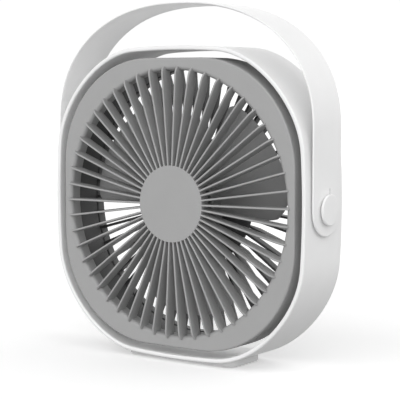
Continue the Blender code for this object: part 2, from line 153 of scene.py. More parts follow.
# housing screws, controls and lead, by their distance and angle from the fan's axis
SCREW_ANGLES = (32, 148, 212, 328)
SCREW_R = 73.7
POD_R = 74.3
POD_ANGLE = -53.5
USB_ANGLE = -46.5
BUTTON_ANGLE = -60.5
LEAD_ANGLE = -57
LEAD_R = 72.8


# ---------------------------------------------------------------- materials

CLOUD_SCALE = 60.0
NOISE_LOW = 0.3
NOISE_HIGH = 0.7
GLOSS_SPREAD = 0.06
BUMP_STRENGTH = 0.4


def surface(name, colour, roughness, tone=0.04, grain=900.0, relief=0.02, metallic=0.0):
    """A moulded or machined surface with mottled tone, uneven gloss and a fine grain.

    relief is the grain's depth in millimetres.
    """
    mat = bpy.data.materials.new(name)
    mat.use_nodes = True
    tree = mat.node_tree
    shader = tree.nodes["Principled BSDF"]
    shader.inputs["Metallic"].default_value = metallic
    place = tree.nodes.new("ShaderNodeTexCoord")

    cloud = tree.nodes.new("ShaderNodeTexNoise")
    cloud.inputs["Scale"].default_value = CLOUD_SCALE
    cloud.inputs["Detail"].default_value = 3.0
    tree.links.new(place.outputs["Object"], cloud.inputs["Vector"])
    tones = tree.nodes.new("ShaderNodeValToRGB")
    tones.color_ramp.elements[0].position = NOISE_LOW
    tones.color_ramp.elements[1].position = NOISE_HIGH
    tones.color_ramp.elements[0].color = (*(c * (1 - tone) for c in colour), 1.0)
    tones.color_ramp.elements[1].color = (*(min(1.0, c * (1 + tone)) for c in colour), 1.0)
    tree.links.new(cloud.outputs["Fac"], tones.inputs["Fac"])
    tree.links.new(tones.outputs["Color"], shader.inputs["Base Color"])

    speckle = tree.nodes.new("ShaderNodeTexNoise")
    speckle.inputs["Scale"].default_value = grain
    speckle.inputs["Detail"].default_value = 4.0
    tree.links.new(place.outputs["Object"], speckle.inputs["Vector"])
    gloss = tree.nodes.new("ShaderNodeMapRange")
    gloss.inputs["From Min"].default_value = NOISE_LOW
    gloss.inputs["From Max"].default_value = NOISE_HIGH
    gloss.inputs["To Min"].default_value = roughness - GLOSS_SPREAD
    gloss.inputs["To Max"].default_value = roughness + GLOSS_SPREAD
    tree.links.new(speckle.outputs["Fac"], gloss.inputs["Value"])
    tree.links.new(gloss.outputs["Result"], shader.inputs["Roughness"])

    bump = tree.nodes.new("ShaderNodeBump")
    bump.inputs["Strength"].default_value = BUMP_STRENGTH
    bump.inputs["Distance"].default_value = relief * MM
    tree.links.new(speckle.outputs["Fac"], bump.inputs["Height"])
    tree.links.new(bump.outputs["Normal"], shader.inputs["Normal"])
    return mat


WHITE = surface("white_shell", (0.87, 0.87, 0.87), 0.42, 0.012)
# The foot's grey, darker than the sleeve's white, is painted shade: it stands for the shade that falls on
# the foot under the sleeve.
FOOT_PAINTED_SHADE = surface("foot_painted_shade", (0.62, 0.62, 0.62), 0.5, 0.012)
GREY = surface("grey_shell", (0.345, 0.345, 0.345), 0.5, 0.02, 1100.0, 0.03)
DARK = surface("dark_shell", (0.045, 0.045, 0.045), 0.48, 0.05, 1100.0, 0.03)
BLADE = surface("blade_grey", (0.24, 0.24, 0.24), 0.45, 0.03)
RUBBER = surface("foot_rubber", (0.09, 0.09, 0.09), 0.8, 0.08, 600.0, 0.05)
STEEL = surface("plated_steel", (0.62, 0.62, 0.62), 0.3, 0.05, 1500.0, 0.005, 1.0)
BRONZE = surface("sintered_bronze", (0.55, 0.36, 0.18), 0.4, 0.08, 2500.0, 0.01, 1.0)
NYLON = surface("nylon", (0.74, 0.73, 0.69), 0.5, 0.03)
BOARD = surface("circuit_board", (0.03, 0.16, 0.06), 0.5, 0.1)
MAGNET = surface("magnet", (0.08, 0.08, 0.09), 0.5, 0.1)
COPPER = surface("wound_copper", (0.60, 0.27, 0.13), 0.35, 0.12, 2000.0, 0.03, 1.0)
LENS = surface("status_lens_plastic", (0.82, 0.86, 0.82), 0.2, 0.02)
WIRE = surface("wire_cover", (0.03, 0.03, 0.03), 0.5, 0.1)


# ---------------------------------------------------------------- shape tools

def fillet(corners, radius, steps=5):
    """Round the corners of a closed flat outline; radius is one number, or one for each corner."""
    corners = [Vector(corner) for corner in corners]
    radii = [radius] * len(corners) if isinstance(radius, (int, float)) else radius
    smooth = []
    for i, (corner, r) in enumerate(zip(corners, radii)):
        a = corners[i - 1] - corner
        b = corners[(i + 1) % len(corners)] - corner
        if r <= 0:
            smooth.append(corner)
            continue
        half = a.angle(b) / 2
        reach = min(r / math.tan(half), a.length * 0.49, b.length * 0.49)
        a.normalize()
        b.normalize()
        centre = corner + (a + b).normalized() * (reach / math.cos(half))
        spoke = corner + a * reach - centre
        last = corner + b * reach - centre
        start = math.atan2(spoke.y, spoke.x)
        turn = (math.atan2(last.y, last.x) - start + math.pi) % (2 * math.pi) - math.pi
        for k in range(steps + 1):
            angle = start + turn * k / steps
            smooth.append(centre + Vector((math.cos(angle), math.sin(angle))) * spoke.length)
    return smooth


def bridge(bm, ring, following):
    """Faces between two rings of vertices; a ring of one vertex is a pole."""
    count = max(len(ring), len(following))
    if count == 1:
        return
    for i in range(count):
        k = (i + 1) % count
        if len(ring) == 1:
            bm.faces.new((ring[0], following[k], following[i]))
        elif len(following) == 1:
            bm.faces.new((ring[i], ring[k], following[0]))
        else:
            bm.faces.new((ring[i], ring[k], following[k], following[i]))


def lathe(bm, profile, axis="Y", centre=(0.0, AXIS_Z), steps=96):
    """Turn a closed (radius, along) profile about a line along axis.

    centre holds the line's other two coordinates.
    """
    rings = []
    for radius, along in profile:
        ring = []
        for i in range(steps if radius > 1e-6 else 1):
            a = 2 * math.pi * i / steps
            u = centre[0] + radius * math.cos(a)
            v = centre[1] + radius * math.sin(a)
            ring.append(bm.verts.new({"X": (along, u, v), "Y": (u, along, v), "Z": (u, v, along)}[axis]))
        rings.append(ring)
    for ring, following in zip(rings, rings[1:] + rings[:1]):
        bridge(bm, ring, following)


def loft(bm, rings):
    """Closed body through a closed series of rings of points."""
    made = [[bm.verts.new(point) for point in ring] for ring in rings]
    for ring, following in zip(made, made[1:] + made[:1]):
        bridge(bm, ring, following)


def solid(bm, outline, thickness, edge, steps=3):
    """A flat (x, z) outline, thickness deep in Y about Y = 0, its edges rounded."""
    front = [bm.verts.new((x, -thickness / 2, z)) for x, z in outline]
    back = [bm.verts.new((x, thickness / 2, z)) for x, z in outline]
    rim = [bm.faces.new(front), bm.faces.new(back[::-1])]
    edges = set()
    for face in rim:
        edges.update(face.edges)
    bridge(bm, front, back)
    bmesh.ops.recalc_face_normals(bm, faces=bm.faces)
    if edge:
        bmesh.ops.bevel(bm, geom=list(edges), offset=edge, segments=steps, profile=0.5, affect="EDGES")


def repeat_round(bm, build, count, first=0.0):
    """Copies of one shape turned about the fan's axis; the shape is drawn with the axis at X = Z = 0."""
    one = bmesh.new()
    build(one)
    mesh = bpy.data.meshes.new("one")
    one.to_mesh(mesh)
    one.free()
    for i in range(count):
        before = len(bm.verts)
        bm.from_mesh(mesh)
        bm.verts.ensure_lookup_table()
        place = Matrix.Translation((0, 0, AXIS_Z)) @ turn_by(first + 360 * i / count)
        bmesh.ops.transform(bm, matrix=place, verts=bm.verts[before:])
    bpy.data.meshes.remove(mesh)


def turn_by(angle):
    """Turn about the Y line by an angle in degrees, from +X towards +Z."""
    return Matrix.Rotation(-math.radians(angle), 4, "Y")


def spot(radius, angle):
    """World (x, z) at a radius and angle from the fan's axis."""
    a = math.radians(angle)
    return (radius * math.cos(a), AXIS_Z + radius * math.sin(a))


def shape(name, build):
    """An object from a function that fills a bmesh in millimetres."""
    bm = bmesh.new()
    build(bm)
    bmesh.ops.recalc_face_normals(bm, faces=bm.faces)
    bmesh.ops.scale(bm, vec=(MM, MM, MM), verts=bm.verts)
    mesh = bpy.data.meshes.new(name)
    bm.to_mesh(mesh)
    bm.free()
    obj = bpy.data.objects.new(name, mesh)
    bpy.context.scene.collection.objects.link(obj)
    return obj


def turned(name, profile, axis="Y", centre=(0.0, AXIS_Z), steps=96):
    """An object turned from a closed (radius, along) profile."""
    return shape(name, lambda bm: lathe(bm, profile, axis, centre, steps))


def add_bodies(obj, build):
    """Add more closed bodies to an object's mesh."""
    extra = shape("extra", build)
    bm = bmesh.new()
    bm.from_mesh(obj.data)
    bm.from_mesh(extra.data)
    bm.to_mesh(obj.data)
    bm.free()
    bpy.data.objects.remove(extra, do_unlink=True)


def boolean(obj, tools, operation="DIFFERENCE"):
    """Cut or join an object with tools, which are used up."""
    for tool in tools:
        mod = obj.modifiers.new("cut", "BOOLEAN")
        mod.operation = operation
        mod.solver = "EXACT"
        mod.object = tool
    depsgraph = bpy.context.evaluated_depsgraph_get()
    mesh = bpy.data.meshes.new_from_object(obj.evaluated_get(depsgraph))
    obj.modifiers.clear()
    obj.data = mesh
    for tool in tools:
        bpy.data.objects.remove(tool, do_unlink=True)
    return obj


def dress(obj, mat, body, nodes, sharp=42):
    """Give a piece its shading, material and body, and let it stand for its CAD nodes."""
    obj.data.materials.clear()
    obj.data.materials.append(mat)
    obj.data.shade_smooth()
    obj.data.set_sharp_from_angle(angle=math.radians(sharp))
    even = obj.modifiers.new("even_shading", "WEIGHTED_NORMAL")
    even.keep_sharp = True
    even.weight = 90
    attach(obj, body)
    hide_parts(*nodes)


def outline(width, height, radius, swell, per_corner=24, per_side=24):
    """Rounded square about the fan's axis, whose sides swell outwards towards their middles."""
    points = []
    for sx, sz, start in ((1, 1, 0), (-1, 1, 90), (-1, -1, 180), (1, -1, 270)):
        for i in range(per_corner):
            a = math.radians(start + 90 * i / (per_corner - 1))
            x = sx * (width / 2 - radius) + radius * math.cos(a)
            z = sz * (height / 2 - radius) + radius * math.sin(a)
            points.append(Vector((x, z)))
    dense = []
    for i, point in enumerate(points):
        dense.append(point)
        if (i + 1) % per_corner == 0:
            following = points[(i + 1) % len(points)]
            dense += [point.lerp(following, k / per_side) for k in range(1, per_side)]
    swollen = []
    for x, z in dense:
        u = x / (width / 2)
        v = z / (height / 2)
        swollen.append((x - swell * u * v * v, z - swell * v * u * u))
    return swollen


def frame_ring(inset, y):
    """The sleeve's outline, drawn in by inset."""
    flat = outline(FRAME_W - 2 * inset, FRAME_H - 2 * inset, FRAME_R - inset, FRAME_SWELL)
    return [(x, y, AXIS_Z + z) for x, z in flat]


def head_ring(inset, y):
    """The head's outline, drawn in by inset."""
    flat = outline(HEAD_W - 2 * inset, HEAD_H - 2 * inset, HEAD_R - inset, 0.0)
    return [(x, y, AXIS_Z + z) for x, z in flat]


def round_ring(radius, y):
    """A circle whose points lie on the same rays as the head outline's points."""
    flat = outline(HEAD_W, HEAD_H, HEAD_R, 0.0)
    rays = [Vector(point).normalized() * radius for point in flat]
    return [(ray.x, y, AXIS_Z + ray.y) for ray in rays]


def quarter(centre, reach, steps=6):
    """Quarter of an ellipse as (across, y) points, from its left end to its front."""
    points = []
    for k in range(steps + 1):
        a = math.radians(180 + 90 * k / steps)
        points.append((centre[0] + reach[0] * math.cos(a), centre[1] + reach[1] * math.sin(a)))
    return points


# ---------------------------------------------------------------- sleeve and foot

def build_sleeve(bm):
    """The sleeve's wall, its section carried round the outline."""
    section = [(0, FRONT_Y), (FRAME_WALL, FRONT_Y), (FRAME_WALL, -FRONT_Y), (0, -FRONT_Y)]
    loft(bm, [frame_ring(inset, y) for inset, y in fillet(section, 0.85)])


def rod(radius, low, high, axis="X", centre=(0.0, AXIS_Z), steps=48):
    """A plain cutting cylinder."""
    profile = [(0, low), (radius, low), (radius, high), (0, high)]
    return turned("rod", profile, axis, centre, steps)


sleeve = boolean(shape("sleeve_ring", build_sleeve), [rod(SLEEVE_HOLE_R, -CUT_REACH, CUT_REACH)])
dress(sleeve, WHITE, "sleeve", ["outer_frame"])

foot_low, foot_high = sizes("base_foot")
FOOT_X = foot_high.x
FOOT_Y = foot_high.y
FOOT_Z = foot_low.z


def block(bm, middle, half_x, half_y, corner, levels):
    """An upright block with a rounded plan; levels are (inset, z) from bottom to top."""
    rings = []
    for inset, z in levels:
        x = half_x - inset
        y = half_y - inset
        plan = fillet([(-x, -y), (x, -y), (x, y), (-x, y)], corner - inset, 8)
        rings.append([bm.verts.new((middle + px, py, z)) for px, py in plan])
    for ring, following in zip(rings, rings[1:]):
        bridge(bm, ring, following)
    bm.faces.new(rings[0])
    bm.faces.new(rings[-1])


def block_shape(name, *plan):
    """An object made of one block."""
    return shape(name, lambda bm: block(bm, *plan))


def build_foot(bm):
    """The foot before the sleeve's seat and the pads' rooms are cut from it."""
    levels = ((0.6, FOOT_Z), (0.18, FOOT_Z + 0.18), (0, FOOT_Z + 0.6), (0, FOOT_Z + FOOT_RISE))
    block(bm, 0, FOOT_X, FOOT_Y, FOOT_CORNER, levels)


def build_seat(bm):
    """The sleeve's outline with a gap round it, which cuts the foot's top."""
    rings = [[bm.verts.new(point) for point in frame_ring(-GAP, y)] for y in (-30, 30)]
    bridge(bm, *rings)
    bm.faces.new(rings[0])
    bm.faces.new(rings[1])


foot_cuts = [shape("seat", build_seat)]
for side in (-1, 1):
    room_half = PAD_HALF + GAP
    levels = ((0, FOOT_Z - 1), (0, FOOT_Z + 0.5))
    foot_cuts.append(block_shape("pad_room", side * PAD_X, room_half, room_half, PAD_CORNER + GAP, levels))
foot = boolean(shape("foot_plate", build_foot), foot_cuts)
# The foot gets the darker grey that paints in the shade under the sleeve.
dress(foot, FOOT_PAINTED_SHADE, "sleeve", ["base_foot"])

for side, word in ((-1, "left"), (1, "right")):
    levels = ((0.3, 0), (0.08, 0.1), (0, 0.3), (0, 0.6))
    pad = block_shape("rubber_pad_" + word, side * PAD_X, PAD_HALF, PAD_HALF, PAD_CORNER, levels)
    dress(pad, RUBBER, "sleeve", ["foot_pad_" + word])


# ---------------------------------------------------------------- head shells

def build_shell(bm):
    """Front panel, side skirt and the rounded edge of the opening, in one."""
    edge = 0.9
    lip = (LIP_ROUND, LIP_ROUND)
    rings = [head_ring(0, SKIRT_REAR_Y)]
    for inset, y in quarter((edge, FRONT_Y + edge), (edge, edge)):
        rings.append(head_ring(inset, y))
    for radius, y in quarter((DUCT_R + lip[0], FRONT_Y + lip[1]), lip)[::-1]:
        rings.append(round_ring(radius, y))
    rings += [
        round_ring(DUCT_R, LIP_REAR_Y),
        round_ring(DUCT_R + DUCT_T, LIP_REAR_Y),
        round_ring(DUCT_R + DUCT_T, FRONT_Y + PANEL_T),
        head_ring(SKIRT_T, FRONT_Y + PANEL_T),
        head_ring(SKIRT_T, SKIRT_REAR_Y),
    ]
    loft(bm, rings)


def build_bosses(bm):
    """Screw bosses and pivot ears inside the front shell."""
    for angle in SCREW_ANGLES:
        boss = [(BOSS_R, BOSS_FRONT_Y), (BOSS_R, SKIRT_REAR_Y),
                (BOSS_HOLE_R, SKIRT_REAR_Y), (BOSS_HOLE_R, BOSS_FRONT_Y)]
        lathe(bm, boss, "Y", spot(SCREW_R, angle), 32)
    for side in (-1, 1):
        ear = [(EAR_R, side * EAR_IN_X), (EAR_R, side * EAR_OUT_X),
               (HEAD_HOLE_R, side * EAR_OUT_X), (HEAD_HOLE_R, side * EAR_IN_X)]
        lathe(bm, ear, "X", (0, AXIS_Z), 32)


shell = boolean(shape("head_shell", build_shell), [rod(HEAD_HOLE_R, -CUT_REACH, CUT_REACH)])
add_bodies(shell, build_bosses)
dress(shell, GREY, "head", ["front_shell"])


def build_cover(bm):
    """Rear cover plate and the shroud that rings the blades, in one."""
    soft = 0.5
    rings = [head_ring(GAP, COVER_FRONT_Y), head_ring(GAP, COVER_REAR_Y - soft)]
    rings += [head_ring(GAP + 0.3 * soft, COVER_REAR_Y - 0.3 * soft), head_ring(GAP + soft, COVER_REAR_Y)]
    rings += [
        round_ring(SHROUD_R + 0.3, COVER_REAR_Y),
        round_ring(SHROUD_R, COVER_REAR_Y + 0.3),
        round_ring(SHROUD_R, SHROUD_REAR_Y - 0.3),
        round_ring(SHROUD_R - 0.3, SHROUD_REAR_Y),
        round_ring(SHROUD_R - SHROUD_T + 0.3, SHROUD_REAR_Y),
        round_ring(SHROUD_R - SHROUD_T, SHROUD_REAR_Y - 0.3),
        round_ring(SHROUD_R - SHROUD_T, LIP_REAR_Y + GAP),
        round_ring(SHROUD_R, LIP_REAR_Y + GAP),
        round_ring(SHROUD_R, COVER_FRONT_Y),
    ]
    loft(bm, rings)


def lozenge(bm, middle, angle, half_r, half_t, corner, levels):
    """A block set out from the fan's axis, with a rounded (radial, tangential) plan.

    levels are (inset, y) from one end to the other.
    """
    rings = []
    for inset, y in levels:
        r = half_r - inset
        t = half_t - inset
        plan = fillet([(-r, -t), (r, -t), (r, t), (-r, t)], max(corner - inset, 0.02), 6)
        place = Matrix.Translation((0, 0, AXIS_Z)) @ turn_by(angle)
        rings.append([bm.verts.new(place @ Vector((middle + pr, y, pt))) for pr, pt in plan])
    for ring, following in zip(rings, rings[1:]):
        bridge(bm, ring, following)
    bm.faces.new(rings[0])
    bm.faces.new(rings[-1])


def lozenge_shape(name, *plan):
    """An object made of one lozenge."""
    return shape(name, lambda bm: lozenge(bm, *plan))


# the cover's round holes: (radius, distance from the axis, angle, steps)
COVER_HOLES = (
    *((1.4, SCREW_R, angle, 24) for angle in SCREW_ANGLES),
    (1.1, LEAD_R, LEAD_ANGLE, 24),
    (2.8, POD_R, BUTTON_ANGLE, 64),
    (1.3, POD_R, POD_ANGLE, 32),
)
COVER_CUT_Y = (0, 4)
cover_cuts = [rod(6.4, side * 70.35, side * 80) for side in (-1, 1)]
for radius, distance, angle, steps in COVER_HOLES:
    cover_cuts.append(rod(radius, *COVER_CUT_Y, "Y", spot(distance, angle), steps))
cover_cuts.append(lozenge_shape("usb_window", POD_R, USB_ANGLE, 1.95, 4.8, 1.9, ((0, -1), (0, 4))))
notch_levels = ((0, SHROUD_REAR_Y - 2), (0, SHROUD_REAR_Y + 1))
cover_cuts.append(lozenge_shape("lead_notch", 69.6, LEAD_ANGLE, 2, 1.2, 0.3, notch_levels))
cover = boolean(shape("head_cover", build_cover), cover_cuts)
dress(cover, DARK, "head", ["rear_housing"])


# ---------------------------------------------------------------- grille, cap and guard

def build_vane(bm):
    """One vane: it stands proud of the panel and curves down into the opening's rounded edge."""
    front = GRILLE_Y + 0.04
    rear = GRILLE_Y + VANE_D
    line = [(18.2, rear), (18.2, GRILLE_Y + 2.6), (HUB_R - 0.4, GRILLE_Y + 2.6), (HUB_R - 0.4, front)]
    for k in range(11):
        a = math.pi / 2 * k / 10
        line.append((65.4 + 4.5 * math.sin(a), front + (FRONT_Y + 0.25 - front) * (1 - math.cos(a))))
    line += [(DUCT_R + 0.4, FRONT_Y + 1.6), (DUCT_R + 0.4, rear)]
    upright(bm, [Vector(point) for point in line], VANE_T, 0.38)


def upright(bm, line, thickness, edge):
    """A (radius, y) outline standing in the plane through the fan's axis, its edges rounded."""
    solid(bm, line, thickness, edge)
    stand = Matrix(((1, 0, 0, 0), (0, 0, 1, 0), (0, 1, 0, 0), (0, 0, 0, 1)))
    bmesh.ops.transform(bm, matrix=stand, verts=bm.verts)


def build_grille(bm):
    """All the vanes and the cup in their middle."""
    repeat_round(bm, build_vane, VANES, VANE_TURN)
    rear = GRILLE_Y + VANE_D
    cup = [(HUB_R - 0.2, rear - 0.25), (HUB_R - 0.2, GRILLE_Y + 2.3), (16.8, GRILLE_Y + 2.3),
           (16.8, GRILLE_Y + 4.6), (0, GRILLE_Y + 4.6), (0, rear - 0.25)]
    lathe(bm, fillet(cup, [0.4, 0.3, 0.2, 0.3, 0, 0], 4), steps=150)


dress(shape("vane_grille", build_grille), GREY, "head", ["front_grille"])

cap_front = sizes("hub_cap")[0].y
cap_rear = sizes("hub_cap")[1].y
cap = [(0, cap_front), (HUB_R, cap_front), (HUB_R, cap_front + 2.0), (16.4, cap_front + 2.0),
       (16.4, cap_rear), (0, cap_rear)]
cap = fillet(cap, [0, 0.3, 0.3, 0.2, 0.3, 0], 6)
dress(turned("centre_cap", cap, steps=150), GREY, "head", ["hub_cap"])


def build_rib(bm):
    """One rib of the rear guard, from its middle disc to its rim."""
    low = GUARD_FRONT_Y + 0.1
    high = RIB_REAR_Y - 0.1
    inner = SEAT_R - 1.3
    line = [(inner, low), (RIB_END_R, low), (RIB_END_R, high),
            (SEAT_R + 4.4, high), (inner, GUARD_REAR_Y - 0.1)]
    upright(bm, line, RIB_T, 0.4)


def build_guard(bm):
    """Ribs, middle disc, rim and the four ears that the screws hold."""
    repeat_round(bm, build_rib, VANES, VANE_TURN)
    seat = [(0, GUARD_REAR_Y), (SEAT_R, GUARD_REAR_Y), (SEAT_R, GUARD_FRONT_Y), (5.0, GUARD_FRONT_Y),
            (5.0, -4.6), (3.3, -4.6), (3.3, GUARD_FRONT_Y + 0.8), (0, GUARD_FRONT_Y + 0.8)]
    lathe(bm, fillet(seat, [0, 0.6, 0.3, 0.4, 0.3, 0.2, 0.1, 0], 4), steps=150)
    rim = [(70.2, GUARD_FRONT_Y), (70.2, RIB_REAR_Y), (68.8, RIB_REAR_Y), (68.8, GUARD_FRONT_Y)]
    lathe(bm, fillet(rim, 0.4, 3), steps=150)
    middle = (GUARD_FRONT_Y + GUARD_REAR_Y) / 2
    high = GUARD_REAR_Y - 0.1
    ear_levels = ((0, middle - 0.9), (0, high - 0.4), (0.12, high - 0.12), (0.4, high))
    for angle in SCREW_ANGLES:
        lozenge(bm, 72.9, angle, 3.4, 3.0, 2.2, ear_levels)
        lozenge(bm, 73.4, angle, 2.7, 2.5, 2.0, ((0, COVER_REAR_Y + GAP), (0, middle)))


dress(shape("rib_guard", build_guard), DARK, "head", ["rear_guard"])


def at(obj, x, y, z):
    """Move an object's mesh, in millimetres."""
    obj.data.transform(Matrix.Translation(Vector((x, y, z)) * MM))
    return obj


def bar(angle, x, y, z):
    """A cutter for one arm of a screw's cross recess."""

    def build(bm):
        size = Matrix.Diagonal((2.6, 1.4, 0.5, 1))
        bmesh.ops.create_cube(bm, size=1.0)
        bmesh.ops.transform(bm, matrix=turn_by(angle) @ size, verts=bm.verts)

    return at(shape("bar", build), x, y, z)


for number, angle in enumerate(SCREW_ANGLES, 1):
    low, high = sizes("housing_screw_%d" % number)
    x, z = spot(SCREW_R, angle)
    head = high.y - 1.3
    pan = fillet([(0, high.y), (2.3, high.y), (2.3, head), (1.05, head), (1.05, low.y), (0, low.y)],
                 [0, 0.8, 0.15, 0.1, 0.3, 0], 5)
    screw = turned("case_screw_%d" % number, pan, "Y", (x, z), 48)
    boolean(screw, [bar(20, x, high.y, z), bar(110, x, high.y, z)])
    dress(screw, STEEL, "head", ["housing_screw_%d" % number])


# ---------------------------------------------------------------- rotor

def blade_point(share, along, middle):
    """Middle surface of a blade: share runs from root to tip, along from front edge to rear edge.

    The rear edge starts further round at the hub, and its corner at the tip is rounded off.
    """
    tip = BLADE_TIP_R - 3.0 * (1 - along) ** 30 - 8 * max(0.0, 4 * along - 3) ** 2
    radius = ROTOR_HUB_R - 0.7 + (tip - ROTOR_HUB_R + 0.7) * share
    sweep = math.radians(BLADE_SWEEP) * along * (1 - share)
    angle = middle + math.radians(BLADE_HALF) * (1 - 2 * along) - sweep
    y = -6.3 + 0.4 * share + (8.4 - 0.4 * share) * along - 0.8 * math.sin(math.pi * along)
    return Vector((radius * math.cos(angle), y, AXIS_Z + radius * math.sin(angle)))


def build_blade(bm, middle, rows=22, columns=44):
    """One blade: a skin either side of its middle surface, thinning to round edges."""
    rings = []
    for i in range(rows + 1):
        share = i / rows
        skins = ([], [])
        for j in range(columns + 1):
            along = j / columns
            here = blade_point(share, along, middle)
            out = blade_point(share + 0.01, along, middle) - here
            across = blade_point(share, along + 0.01, middle) - here
            normal = out.cross(across).normalized()
            edge = 1 - abs(2 * along - 1) ** 10
            tip = 1 - max(0.0, (share - 0.9) / 0.1) ** 4
            half = BLADE_T / 2 * math.sqrt(max(0.0, edge * tip)) * (1.15 - 0.3 * share)
            skins[0].append(here + normal * half)
            skins[1].append(here - normal * half)
        rings.append(skins[0] + skins[1][-2:0:-1])
    made = [[bm.verts.new(point) for point in ring] for ring in rings]
    for ring, following in zip(made, made[1:]):
        bridge(bm, ring, following)
    bm.faces.new(made[0])
    bm.faces.new(made[-1])
    bmesh.ops.remove_doubles(bm, verts=made[-1], dist=0.001)


def build_rotor(bm):
    """The blades and the cup that covers the motor."""
    for k in range(BLADES):
        build_blade(bm, math.radians(BLADE_MIDDLE - 360 * k / BLADES))
    hub = [(0, -8.6), (ROTOR_HUB_R, -8.6), (ROTOR_HUB_R, 2.2),
           (ROTOR_CUP_R, 2.2), (ROTOR_CUP_R, -7.2), (0, -7.2)]
    lathe(bm, fillet(hub, [0, 1.6, 0.3, 0.3, 0.4, 0], 6), steps=120)


dress(shape("fan_rotor", build_rotor), BLADE, "rotor", ["impeller"])


# ---------------------------------------------------------------- controls

def turned_piece(name, profile, axis, centre, mat, body, node, steps=48):
    """A turned object that stands for one CAD node."""
    dress(turned(name, profile, axis, centre, steps), mat, body, [node])


button_low, button_high = sizes("speed_button")
press = [(0, button_low.y), (3.1, button_low.y), (3.1, -0.6), (2.5, -0.6), (2.5, button_high.y),
         (1.7, button_high.y - 0.25), (0, button_high.y - 0.4)]
press = fillet(press, [0, 0.2, 0.2, 0.1, 0.5, 0.8, 0], 6)
turned_piece("press_button", press, "Y", spot(POD_R, BUTTON_ANGLE), GREY, "button",
             "speed_button", 64)

lens_low, lens_high = sizes("status_lens")
LENS_R = 1.0
dome = [(0, lens_high.y), (LENS_R, lens_high.y), (LENS_R, lens_low.y), (0, lens_low.y)]
dome = fillet(dome, [0, 0.6, 0.1, 0], 6)
turned_piece("light_pipe", dome, "Y", spot(POD_R, POD_ANGLE), LENS, "head", "status_lens")

socket_high = sizes("usb_socket")[1]
SOCKET_DEEP = 7.0
socket_back = socket_high.y - SOCKET_DEEP
socket_levels = ((0, socket_back), (0, socket_high.y - 0.15), (0.12, socket_high.y))
mouth_levels = ((0, socket_back + 1.2), (0, socket_high.y + 1))
socket = lozenge_shape("socket_shell", POD_R, USB_ANGLE, 1.6, 4.45, 1.55, socket_levels)
boolean(socket, [lozenge_shape("mouth", POD_R, USB_ANGLE, 1.28, 4.13, 1.25, mouth_levels)])
tongue_levels = ((0, socket_back + 1.0), (0, socket_high.y - 0.9), (0.1, socket_high.y - 0.8))
add_bodies(socket, lambda bm: lozenge(bm, POD_R, USB_ANGLE, 0.35, 3.2, 0.3, tongue_levels))
dress(socket, STEEL, "head", ["usb_socket"])


# ---------------------------------------------------------------- side pivots and handle

def mirrored(profile, side):
    """A (radius, along) profile on the left or right of the fan."""
    return [(radius, side * along) for radius, along in profile]


OUT_X = FRAME_W / 2
IN_X = OUT_X - FRAME_WALL
KNOB_IN_X = knob_low.x
KNOB_OUT_X = knob_high.x
for side, word in ((-1, "left"), (1, "right")):
    pin = [
        (0, PIN_IN_X), (2.0, PIN_IN_X), (2.0, PIN_STEP_X), (5.5, PIN_STEP_X), (5.5, FLANGE_OUT_X),
        (PIN_R, FLANGE_OUT_X), (PIN_R, OUT_X - 0.2), (1.45, OUT_X - 0.2), (1.45, 73.2), (0, 73.2),
    ]
    pin = mirrored(fillet(pin, [0, 0.2, 0.1, 0.3, 0.3, 0.2, 0.2, 0.1, 0, 0], 4), side)
    turned_piece("trunnion_pin_" + word, pin, "X", (0, AXIS_Z), STEEL, "head", "trunnion_" + word)
    washer = [(5.4, WASHER_X[0]), (5.4, WASHER_X[1]), (PIN_HOLE_R, WASHER_X[1]), (PIN_HOLE_R, WASHER_X[0])]
    washer = mirrored(fillet(washer, 0.12, 3), side)
    turned_piece("washer_" + word, washer, "X", (0, AXIS_Z), NYLON, "head",
                 "friction_washer_" + word)
    bush = [
        (5.9, BUSH_IN_X), (5.9, IN_X - GAP), (4.2, IN_X - GAP), (4.2, OUT_X - 0.1),
        (PIN_HOLE_R, OUT_X - 0.1), (PIN_HOLE_R, BUSH_IN_X),
    ]
    bush = mirrored(fillet(bush, [0.25, 0.25, 0.1, 0.2, 0.1, 0.1], 3), side)
    turned_piece("bush_" + word, bush, "X", (0, AXIS_Z), NYLON, "sleeve", "pivot_bush_" + word)
    screw = [
        (0, 73.5), (1.15, 73.5), (1.15, KNOB_IN_X), (3.0, KNOB_IN_X),
        (3.0, KNOB_IN_X + 0.9), (0, KNOB_IN_X + 0.9),
    ]
    screw = mirrored(fillet(screw, [0, 0.3, 0.1, 0.1, 0.3, 0], 4), side)
    turned_piece("side_screw_" + word, screw, "X", (0, AXIS_Z), STEEL, "head",
                 "pivot_screw_" + word)
    knob = [
        (0, KNOB_OUT_X), (KNOB_R, KNOB_OUT_X), (KNOB_R, KNOB_IN_X + 0.8), (KNOB_R - 1.2, KNOB_IN_X),
        (3.4, KNOB_IN_X), (3.4, KNOB_IN_X + 1.2), (0, KNOB_IN_X + 1.2),
    ]
    knob = mirrored(fillet(knob, [0, 0.6, 0.15, 0.1, 0.15, 0.2, 0], 6), side)
    turned_piece("side_knob_" + word, knob, "X", (0, AXIS_Z), WHITE, "handle",
                 "knob_cap_" + word, 120)


def strap_line(count=120):
    """The middle of the strap's thickness, from its right end over the top to its left end."""
    half = STRAP_HALF - STRAP_T / 2
    rise = STRAP_TOP - STRAP_T / 2 - STRAP_SPRING
    straight = 40
    points = []
    for k in range(straight):
        points.append(Vector((half, AXIS_Z + (STRAP_SPRING - AXIS_Z) * k / straight)))
    for i in range(count + 1):
        a = math.pi * i / count
        c = math.cos(a)
        x = math.copysign(abs(c) ** (2 / STRAP_POWER), c) * half
        points.append(Vector((x, STRAP_SPRING + rise * abs(math.sin(a)) ** (2 / STRAP_POWER))))
    points += [Vector((-point.x, point.y)) for point in points[straight - 1::-1]]
    return points


